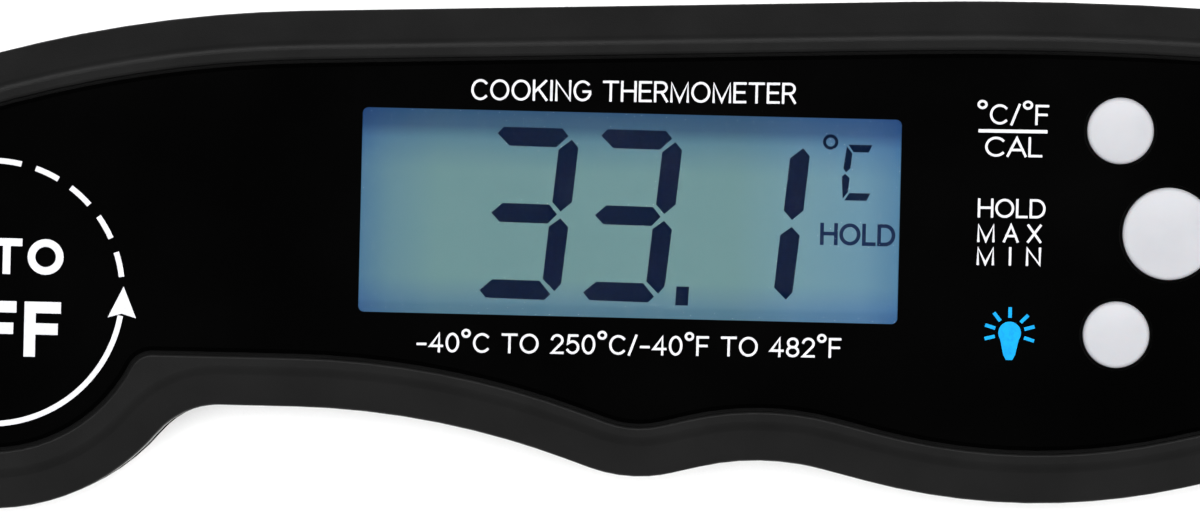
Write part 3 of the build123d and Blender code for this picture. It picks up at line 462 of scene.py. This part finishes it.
GLYPHS = {
    "A": (0.76, [[(0, 0), (0.38, 1), (0.76, 0)], [(0.13, 0.33), (0.63, 0.33)]]),
    "C": (0.76, [bow(0.42, 0.5, 0.42, 0.5, 45, 315, 20)]),
    "D": (0.72, [[(0, 0), (0, 1), (0.30, 1)] + bow(0.30, 0.5, 0.42, 0.5, 90, -90) + [(0, 0)]]),
    "E": (0.56, [[(0.56, 1), (0, 1), (0, 0), (0.56, 0)], [(0, 0.52), (0.5, 0.52)]]),
    "F": (0.54, [[(0.54, 1), (0, 1), (0, 0)], [(0, 0.51), (0.48, 0.51)]]),
    "G": (0.80, [bow(0.42, 0.5, 0.42, 0.5, 45, 340, 20) + [(0.81, 0.46), (0.48, 0.46)]]),
    "H": (0.70, [[(0, 0), (0, 1)], [(0.70, 0), (0.70, 1)], [(0, 0.52), (0.70, 0.52)]]),
    "I": (0.04, [[(0.02, 0), (0.02, 1)]]),
    "K": (0.66, [[(0, 0), (0, 1)], [(0.62, 1), (0.02, 0.40)], [(0.22, 0.60), (0.66, 0)]]),
    "L": (0.50, [[(0, 1), (0, 0), (0.50, 0)]]),
    "M": (0.86, [[(0, 0), (0, 1), (0.43, 0.02), (0.86, 1), (0.86, 0)]]),
    "N": (0.72, [[(0, 0), (0, 1), (0.72, 0), (0.72, 1)]]),
    "O": (0.88, [bow(0.44, 0.5, 0.44, 0.5, 90, 450, 28)]),
    "R": (0.62, [
        [(0, 0), (0, 1), (0.33, 1)] + bow(0.33, 0.74, 0.26, 0.26, 90, -90) + [(0, 0.48)],
        [(0.33, 0.48), (0.62, 0)],
    ]),
    "T": (0.72, [[(0, 1), (0.72, 1)], [(0.36, 1), (0.36, 0)]]),
    "U": (0.70, [[(0, 1), (0, 0.34)] + bow(0.35, 0.34, 0.35, 0.34, 180, 360) + [(0.70, 1)]]),
    "X": (0.68, [[(0, 0), (0.68, 1)], [(0, 1), (0.68, 0)]]),
    "0": (0.60, [bow(0.30, 0.5, 0.30, 0.5, 90, 450, 24)]),
    "2": (0.58, [
        bow(0.29, 0.72, 0.28, 0.28, 165, -35, 12) + [(0.02, 0), (0.58, 0)],
    ]),
    "4": (0.62, [[(0.46, 0), (0.46, 1), (0, 0.30), (0.62, 0.30)]]),
    "5": (0.58, [[(0.52, 1), (0.10, 1), (0.05, 0.56)] + bow(0.28, 0.33, 0.30, 0.33, 125, -150, 14)]),
    "8": (0.58, [bow(0.29, 0.75, 0.25, 0.25, 90, 450, 18), bow(0.29, 0.26, 0.29, 0.26, 90, 450, 18)]),
    "-": (0.44, [[(0.02, 0.40), (0.42, 0.40)]]),
    "/": (0.36, [[(0, -0.04), (0.36, 1.04)]]),
    "*": (0.36, [bow(0.17, 1.04, 0.19, 0.19, 90, 450, 16)]),
    " ": (0.26, []),
}


def lettering(text, left, right, base_left, base_right, height, stroke_width, squeeze):
    """The tiles of a line of text from left to right, its baseline at each end, in millimetres."""
    wide = [GLYPHS[letter][0] * height * squeeze for letter in text]
    gap = ((right - left - stroke_width) - sum(wide)) / (len(text) - 1)
    slope = (base_right - base_left) / (right - left)
    tiles = []
    start = left + stroke_width / 2
    rise = height - stroke_width
    for letter, width in zip(text, wide):
        lines = [
            [
                (
                    start + x * height * squeeze,
                    base_left + stroke_width / 2 + y * rise + slope * (start + x * height - left),
                )
                for x, y in line
            ]
            for line in GLYPHS[letter][1]
        ]
        for line in lines:
            tiles += stroke(line, stroke_width, stroke_width / 2)
        start += width + gap
    return tiles


# the display, in millimetres

DIGIT_PITCH = 8.88
ONE_ACROSS = 19.83
ONE_UP = -0.26
POINT = (58.53, 59.62, 0.25, 1.87)
POINT_SLANT = 0.05
DEGREE_CENTRE = (71.52, 14.55)
DEGREE_RADII = (0.385, 0.66)

# the lit bars of a slanted 3, each by its corners: top, upper right, middle, lower right, bottom
THREE = [
    [(42.99, 14.62), (43.51, 15.19), (48.54, 15.16), (49.07, 14.51), (48.04, 13.54), (44.04, 13.58)],
    [(49.35, 14.22), (49.93, 13.55), (49.50, 8.88), (48.54, 8.04), (47.81, 8.84), (48.24, 13.34)],
    [(42.60, 7.81), (43.56, 8.67), (47.56, 8.62), (48.24, 7.80), (47.47, 6.99), (43.34, 7.04)],
    [(48.53, 7.46), (49.23, 6.73), (48.73, 1.87), (48.17, 1.21), (47.14, 2.23), (47.56, 6.74)],
    [(41.75, 1.17), (42.82, 2.11), (46.88, 2.08), (47.83, 0.95), (47.31, 0.44), (42.30, 0.52)],
]

# the bars of the small unit letter: top, upper left, lower left, bottom
UNIT_LETTER = [
    [(73.05, 14.36), (75.10, 14.36), (74.80, 13.72), (73.50, 13.72)],
    [(72.92, 14.22), (73.40, 13.62), (73.28, 12.35), (72.90, 11.98), (72.66, 12.30)],
    [(72.82, 11.86), (73.22, 11.50), (73.10, 10.30), (72.66, 9.72), (72.54, 11.60)],
    [(72.80, 9.58), (74.70, 9.58), (75.02, 10.22), (73.22, 10.22)],
]
WORD_LINE = ("HOLD", 70.80, 77.25, 5.72, 5.72, 1.90, 0.32, 0.90)

FIELD_MARGIN = 0.35
FIELD_THICK = 0.04 * MM
SEGMENT_THICK = 0.02 * MM
FIELD_Z = CELL_TOP + 0.05 * MM
SEGMENT_Z = CELL_TOP + 0.13 * MM


def shifted(shapes, across, up=0.0):
    return [[(x + across, y + up) for x, y in shape] for shape in shapes]


def box_shape(left, right, low, high, slant=0.0):
    """Four corners, the upper two moved across by the slant times the height."""
    lean = slant * (high - low)
    return [(left, low), (right, low), (right + lean, high), (left + lean, high)]


field_shape = box_shape(
    WINDOW_LOW[0] / MM - FIELD_MARGIN, WINDOW_HIGH[0] / MM + FIELD_MARGIN,
    WINDOW_LOW[1] / MM - FIELD_MARGIN, WINDOW_HIGH[1] / MM + FIELD_MARGIN,
)
flat_piece("display_field", [field_shape], FIELD_Z, FIELD_THICK, field)

digits = THREE + shifted(THREE, DIGIT_PITCH)
digits += shifted([THREE[1], THREE[3]], ONE_ACROSS, ONE_UP)
digits.append(box_shape(*POINT, POINT_SLANT))
digits += band(DEGREE_CENTRE, *DEGREE_RADII, 0, 360, 24)
digits += UNIT_LETTER
flat_piece("display_segments", digits, SEGMENT_Z, SEGMENT_THICK, segment_ink)
flat_piece("display_word", lettering(*WORD_LINE), SEGMENT_Z, SEGMENT_THICK, word_ink)


# the panel's print, in millimetres

RING_RADIUS = 11.26
RING_WIDTH = 0.47
RING_INNER = RING_RADIUS - RING_WIDTH / 2
RING_OUTER = RING_RADIUS + RING_WIDTH / 2
SOLID_ARC = (-180, -9)
DASH_COUNT = 10
DASH_START = 8
DASH_PITCH = 17.45
DASH_SWEEP = 11
ARROW_TIP = (11.35, 0.75)
ARROW_NOTCH = (11.23, -1.58)
ARROW_INNER = (10.04, -1.93)
ARROW_OUTER = (12.47, -1.96)

ring = band((0, 0), RING_INNER, RING_OUTER, *SOLID_ARC, 60)
for dash in range(DASH_COUNT):
    start = DASH_START + DASH_PITCH * dash
    ring += band((0, 0), RING_INNER, RING_OUTER, start, start + DASH_SWEEP, 4)
ring.append([ARROW_TIP, ARROW_INNER, ARROW_NOTCH])
ring.append([ARROW_TIP, ARROW_NOTCH, ARROW_OUTER])
flat_piece("print_ring", ring, PRINT_Z, PRINT_THICK, ink_white)

# text, left end, right end, baseline at the left, baseline at the right, cap height, stroke, squeeze
FINE = 0.21
LINES_TO_UNITS = [
    ("AUTO", -6.3, 6.16, 1.58, 1.58, 3.06, 0.66, 0.90),
    ("OFF", -6.04, 6.04, -5.45, -5.45, 4.72, 0.98, 0.84),
    ("COOKING THERMOMETER", 40.66, 68.45, 17.39, 17.71, 1.80, FINE, 0.90),
    ("-40*C TO 250*C/-40*F TO 482*F", 36.47, 72.81, -4.26, -3.91, 1.70, FINE, 0.94),
    ("*C/*F", 83.99, 90.10, 16.35, 16.40, 1.74, FINE, 1.02),
]
UNITS_RULE = [(84.1, 15.65), (90.0, 15.70), (90.0, 15.99), (84.1, 15.94)]
LINES_BELOW = [
    ("CAL", 84.70, 89.60, 13.60, 13.64, 1.72, FINE, 1.15),
    ("HOLD", 84.20, 90.00, 8.38, 8.42, 1.64, FINE, 0.98),
    ("MAX", 84.20, 89.70, 6.28, 6.32, 1.58, FINE, 0.95),
    ("MIN", 84.20, 89.70, 4.31, 4.35, 1.58, FINE, 0.95),
]

print_words = []
for line in LINES_TO_UNITS:
    print_words += lettering(*line)
print_words.append(UNITS_RULE)
for line in LINES_BELOW:
    print_words += lettering(*line)
flat_piece("print_words", print_words, PRINT_Z, PRINT_THICK, ink_white)

BULB = (87.17, -1.43)
BULB_RADIUS = 0.97
BULB_ARC = (-35, 215)
BULB_FOOT = [(86.66, -3.30), (86.90, -3.74), (87.44, -3.74), (87.68, -3.30)]
RAY_ANGLES = (90, 129, 45, 163, 15.5, 194, -17)
RAY_NEAR = 1.30
RAY_FAR = 2.20
RAY_WIDTH = 0.30

bulb = [arc_points(BULB, BULB_RADIUS, *BULB_ARC, 30) + BULB_FOOT]
for angle in RAY_ANGLES:
    toward = (cos(radians(angle)), sin(radians(angle)))
    ray = [
        (BULB[0] + reach * toward[0], BULB[1] + reach * toward[1]) for reach in (RAY_NEAR, RAY_FAR)
    ]
    bulb += stroke(ray, RAY_WIDTH)
flat_piece("print_bulb", bulb, PRINT_Z, PRINT_THICK, ink_blue)


# floor, lights and camera, in metres

FLOOR_HALF = 20.0
FLOOR_GAP = 0.1 * MM
SENSOR_WIDTH = 36.0
VIEW_WIDTH = 0.1026
CAMERA_DISTANCE = 0.9
CAMERA_OVER = (0.05201, 0.00402)
CAMERA_TURN = 1.36


def floor():
    """A pale sheet just under the back."""
    half = FLOOR_HALF
    low = cad_box[0][2] - FLOOR_GAP
    made = bpy.data.meshes.new("floor")
    made.from_pydata(
        [(-half, -half, low), (half, -half, low), (half, half, low), (-half, half, low)], [], [(0, 1, 2, 3)]
    )
    made.materials.append(plain("floor_paper", grey(0.86), grey(0.88), (0.8, 0.9), scale=20.0))
    sheet = bpy.data.objects.new("floor", made)
    bpy.context.scene.collection.objects.link(sheet)


def soft_light(name, place, aim, size, power, glossy=True, diffuse=True):
    """A rectangular light, which may be left out of mirror reflections or of plain light."""
    lamp = bpy.data.lights.new(name, "AREA")
    lamp.shape = "RECTANGLE"
    lamp.size, lamp.size_y = size
    lamp.energy = power
    holder = bpy.data.objects.new(name, lamp)
    holder.location = place
    holder.rotation_euler = (Vector(aim) - Vector(place)).to_track_quat("-Z", "Y").to_euler()
    holder.visible_glossy = glossy
    holder.visible_diffuse = diffuse
    bpy.context.scene.collection.objects.link(holder)


def surroundings(seen, mirrored, lit):
    """A plain world: one level for the camera, one for mirror reflections, one for light."""
    world = bpy.data.worlds.new("studio")
    world.use_nodes = True
    tree = world.node_tree
    tree.nodes.clear()
    path = tree.nodes.new("ShaderNodeLightPath")
    out = tree.nodes.new("ShaderNodeOutputWorld")
    looks = []
    for level in (seen, mirrored, lit):
        back = tree.nodes.new("ShaderNodeBackground")
        back.inputs["Color"].default_value = (*grey(level), 1)
        looks.append(back)
    inner = tree.nodes.new("ShaderNodeMixShader")
    outer = tree.nodes.new("ShaderNodeMixShader")
    tree.links.new(path.outputs["Is Glossy Ray"], inner.inputs["Fac"])
    tree.links.new(looks[2].outputs[0], inner.inputs[1])
    tree.links.new(looks[1].outputs[0], inner.inputs[2])
    tree.links.new(path.outputs["Is Camera Ray"], outer.inputs["Fac"])
    tree.links.new(inner.outputs[0], outer.inputs[1])
    tree.links.new(looks[0].outputs[0], outer.inputs[2])
    tree.links.new(outer.outputs[0], out.inputs["Surface"])
    bpy.context.scene.world = world


def camera():
    """Straight above, turned a little, with a long lens."""
    lens = bpy.data.cameras.new("camera")
    lens.sensor_width = SENSOR_WIDTH
    lens.lens = SENSOR_WIDTH * CAMERA_DISTANCE / VIEW_WIDTH
    lens.clip_end = 100.0
    holder = bpy.data.objects.new("camera", lens)
    holder.location = (*CAMERA_OVER, PANEL_TOP + CAMERA_DISTANCE)
    holder.rotation_euler = (0, 0, radians(CAMERA_TURN))
    bpy.context.scene.collection.objects.link(holder)
    bpy.context.scene.camera = holder


floor()
surroundings(seen=1.0, mirrored=0.02, lit=0.42)
soft_light(
    "overhead", place=(0.06, 0.08, 1.5), aim=(0.06, 0.0, 0.0), size=(0.8, 0.8), power=46.0, glossy=False
)
soft_light(
    "key", place=(0.05, 0.62, 1.25), aim=(0.05, 0.0, 0.0), size=(1.6, 0.35), power=34.0, diffuse=False
)
soft_light(
    "grip_card", place=(0.05, -0.6, 0.12), aim=(0.05, 0.0, 0.02), size=(1.6, 0.5), power=1.2,
    diffuse=False,
)
camera()
bpy.context.scene.view_settings.view_transform = "Standard"
